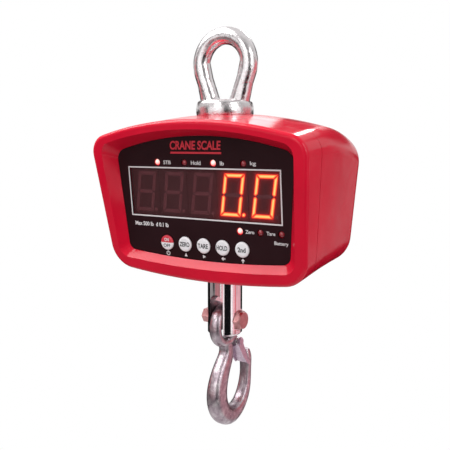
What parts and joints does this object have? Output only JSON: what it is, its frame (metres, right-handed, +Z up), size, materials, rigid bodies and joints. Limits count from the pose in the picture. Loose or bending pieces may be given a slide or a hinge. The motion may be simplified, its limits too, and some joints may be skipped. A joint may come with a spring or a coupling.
{
  "type": "crane scale",
  "caption": "Hanging crane scale: lifting eye on a wedge-shaped two-part housing with a tilted digital display and keys, clevis rod below and a swinging hook with a spring latch.",
  "frame": {"origin": "bearing point at the inner top of the lifting eye, where a crane hook or shackle carries the scale", "axes": "+Z up along the load line, -Y out of the display, +X to the reader's right"},
  "size_m": [0.18, 0.1045, 0.3045],
  "materials": {
    "red_paint": "glossy red enamel over an aluminium die casting",
    "cover_red": "red moulded plastic",
    "black_rubber": "matt",
    "panel_black": "printed overlay, satin",
    "smoked_window": "smoked red acrylic",
    "circuit_board": "solder mask",
    "black_plastic": "moulded",
    "digit_body": "moulded, with light segments",
    "lamp_lit": "lit lens",
    "lamp_dark": "unlit lens",
    "key_white": "printed key",
    "polished_steel": "polished and plated",
    "satin_steel": "satin",
    "zinc_screw": "zinc plated",
    "zinc_forging": "zinc-plated forging",
    "zinc_sheet": "zinc-plated sheet",
    "spring_wire": "drawn wire",
    "cell_alloy": "machined",
    "battery_sleeve": "shrink sleeve"
  },
  "bodies": {
    "housing": {"front_bezel": "red_paint", "rear_shell": "red_paint", "shell_gasket": "black_rubber", "face_plate": "panel_black", "display_window": "smoked_window", "display_board": "circuit_board", "display_board_screws": "zinc_screw", "key_switches": "black_plastic", "lifting_eye": "polished_steel", "eye_seal": "black_rubber", "load_cell": "cell_alloy", "shank_lock_pins": "zinc_screw", "clevis_rod": "polished_steel", "rod_seal": "black_rubber", "hook_bolt": "satin_steel", "hook_nut": "satin_steel", "mounting_bracket": "zinc_sheet", "bracket_screws": "zinc_screw", "load_cell_screws": "zinc_screw", "main_board": "circuit_board", "main_board_screws": "zinc_screw", "battery": "battery_sleeve", "battery_box": "black_plastic", "battery_cover": "cover_red", "battery_cover_screws": "zinc_screw", "charging_jack": "black_plastic", "jack_plug_anchor": "black_rubber", "housing_screws": "zinc_screw", "led_digit_1": "digit_body", "led_digit_2": "digit_body", "led_digit_3": "digit_body", "led_digit_4": "digit_body", "led_digit_5": "digit_body", "led_stable": "lamp_lit", "led_pound": "lamp_lit", "led_zero": "lamp_lit", "led_hold": "lamp_dark", "led_kilogram": "lamp_dark", "led_tare": "lamp_dark", "led_battery": "lamp_dark"},
    "hook": {"hook": "zinc_forging", "latch_pin": "zinc_sheet", "latch_spring": "spring_wire"},
    "latch": {"latch": "zinc_sheet"},
    "jack_cap": {"jack_plug": "black_rubber"},
    "power_key": {"key_power": "key_white"},
    "zero_key": {"key_zero": "key_white"},
    "tare_key": {"key_tare": "key_white"},
    "hold_key": {"key_hold": "key_white"},
    "second_key": {"key_second": "key_white"}
  },
  "joints": [
    {"name": "hook_swing", "type": "hinge", "parent": "housing", "child": "hook", "pos_m": [0, 0, -0.2045], "axis": [1, 0, 0], "range_deg": [-70, 70]},
    {"name": "latch_open", "type": "hinge", "parent": "hook", "child": "latch", "pos_m": [0, 0.0134, -0.2262], "axis": [1, 0, 0], "range_deg": [-32, 0], "stiffness_Nm_per_rad": 0.02, "springref_deg": 20.05},
    {"name": "jack_cap_open", "type": "hinge", "parent": "housing", "child": "jack_cap", "pos_m": [0.062, 0.0523, -0.1137], "axis": [1, 0, 0], "range_deg": [0, 100]},
    {"name": "power_key_press", "type": "slide", "parent": "housing", "child": "power_key", "axis": [0, 0.9951, 0.0985], "range_m": [0, 0.0005], "stiffness_N_per_m": 900, "springref_m": -0.001},
    {"name": "zero_key_press", "type": "slide", "parent": "housing", "child": "zero_key", "axis": [0, 0.9951, 0.0985], "range_m": [0, 0.0005], "stiffness_N_per_m": 900, "springref_m": -0.001},
    {"name": "tare_key_press", "type": "slide", "parent": "housing", "child": "tare_key", "axis": [0, 0.9951, 0.0985], "range_m": [0, 0.0005], "stiffness_N_per_m": 900, "springref_m": -0.001},
    {"name": "hold_key_press", "type": "slide", "parent": "housing", "child": "hold_key", "axis": [0, 0.9951, 0.0985], "range_m": [0, 0.0005], "stiffness_N_per_m": 900, "springref_m": -0.001},
    {"name": "second_key_press", "type": "slide", "parent": "housing", "child": "second_key", "axis": [0, 0.9951, 0.0985], "range_m": [0, 0.0005], "stiffness_N_per_m": 900, "springref_m": -0.001}
  ]
}
